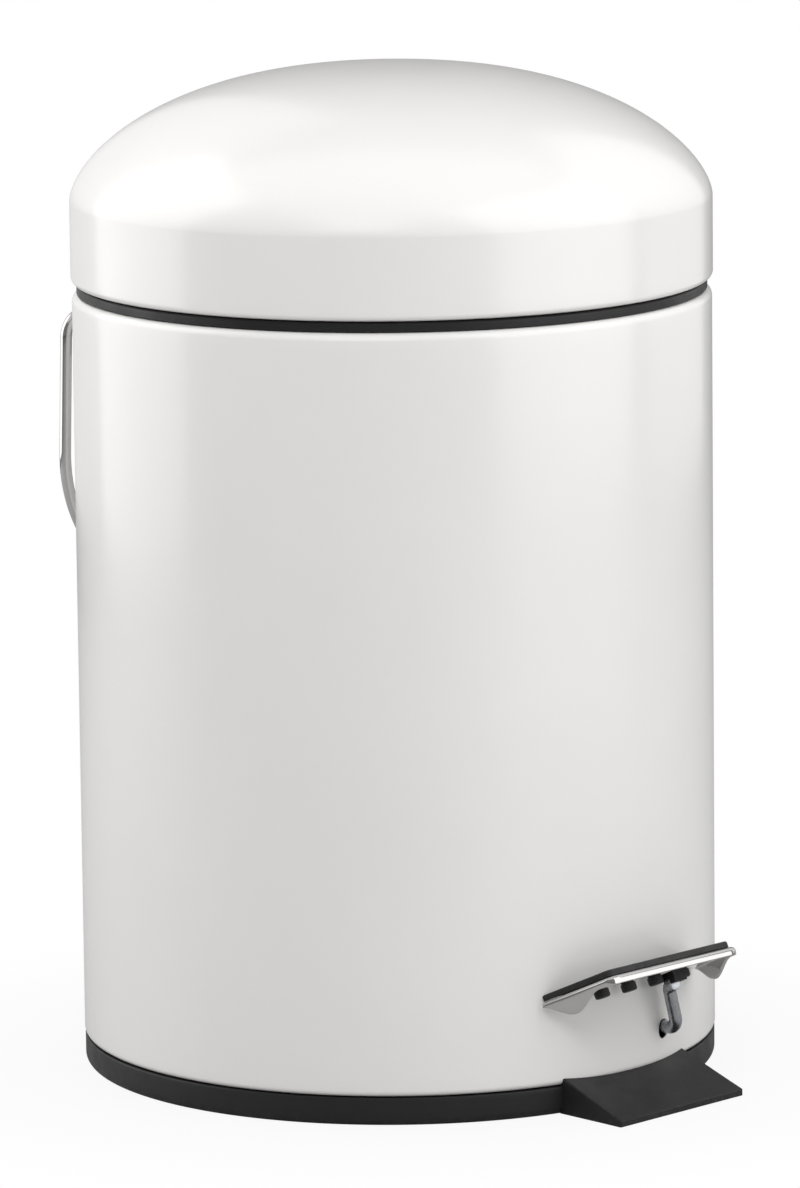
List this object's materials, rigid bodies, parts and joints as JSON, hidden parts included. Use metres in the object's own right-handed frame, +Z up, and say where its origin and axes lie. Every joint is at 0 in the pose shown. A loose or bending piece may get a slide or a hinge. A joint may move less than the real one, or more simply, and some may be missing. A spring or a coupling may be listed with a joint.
{
  "type": "pedal trash can",
  "caption": "Round steel pedal bin with a domed lid, lift-out bucket, wire carrying handle and a toe wedge under the pedal.",
  "frame": {"origin": "on the bin's axis at floor level, in the base moulding's flat underside", "axes": "+Z up; -Y towards the pedal at the front; +X to the right seen from the front"},
  "size_m": [0.2056, 0.2354, 0.3228],
  "materials": {
    "white_enamel": "glossy warm white enamel on sheet steel",
    "black_plastic": "fine-grained black moulding",
    "grey_plastic": "smooth dark grey moulding",
    "chrome": "bright chrome plate",
    "zinc_plate": "zinc-plated steel",
    "black_rubber": "matt black rubber",
    "natural_nylon": "natural nylon moulding"
  },
  "bodies": {
    "shell": {"body_shell": "white_enamel", "rim_ring": "black_plastic", "base_moulding": "black_plastic", "hinge_base": "black_plastic", "hinge_pin": "zinc_plate", "push_rod_guide_lower": "natural_nylon", "push_rod_guide_upper": "natural_nylon", "lever_bearing": "natural_nylon", "lever_bearing_cap": "zinc_plate", "handle_lug_left": "chrome", "handle_lug_right": "chrome", "hinge_rivet_left": "zinc_plate", "hinge_rivet_right": "zinc_plate", "lug_rivet_left": "zinc_plate", "lug_rivet_right": "zinc_plate", "cap_screw_left": "zinc_plate", "cap_screw_right": "zinc_plate", "base_screw_left": "zinc_plate", "base_screw_right": "zinc_plate"},
    "lid": {"lid_shell": "white_enamel", "lid_hinge_bracket": "black_plastic", "lid_rivet_left": "zinc_plate", "lid_rivet_right": "zinc_plate"},
    "pedal": {"pedal_lever": "zinc_plate", "pedal_plate": "chrome", "pedal_pad": "black_rubber", "pedal_clip": "black_plastic"},
    "push_rod": {"push_rod": "zinc_plate", "push_rod_shoe": "natural_nylon"},
    "bucket": {"inner_bucket": "grey_plastic"},
    "bail": {"bucket_handle": "zinc_plate"},
    "carry_handle": {"rear_handle": "chrome"}
  },
  "joints": [
    {"name": "lid_open", "type": "hinge", "parent": "shell", "child": "lid", "pos_m": [0, 0.1075, 0.252], "axis": [-1, 0, 0], "range_deg": [0, 64]},
    {"name": "pedal_press", "type": "hinge", "parent": "shell", "child": "pedal", "pos_m": [0, -0.0935, 0.0212], "axis": [1, 0, 0], "range_deg": [0, 6.21]},
    {"name": "push_rod_lift", "type": "slide", "parent": "shell", "child": "push_rod", "axis": [0, 0, 1], "range_m": [0, 0.02002]},
    {"name": "bucket_lift", "type": "slide", "parent": "shell", "child": "bucket", "axis": [0, 0, 1], "range_m": [0, 0.01]},
    {"name": "bail_swing", "type": "hinge", "parent": "bucket", "child": "bail", "pos_m": [0, 0, 0.2557], "axis": [-1, 0, 0], "range_deg": [0, 25]},
    {"name": "carry_handle_swing", "type": "hinge", "parent": "shell", "child": "carry_handle", "pos_m": [0, 0.1012, 0.238], "axis": [1, 0, 0], "range_deg": [0, 110]}
  ],
  "couplings": [
    {"joint": "pedal_press", "follows": "lid_open", "ratio": 0.096953},
    {"joint": "push_rod_lift", "follows": "lid_open", "m_per_rad": 0.017901}
  ]
}
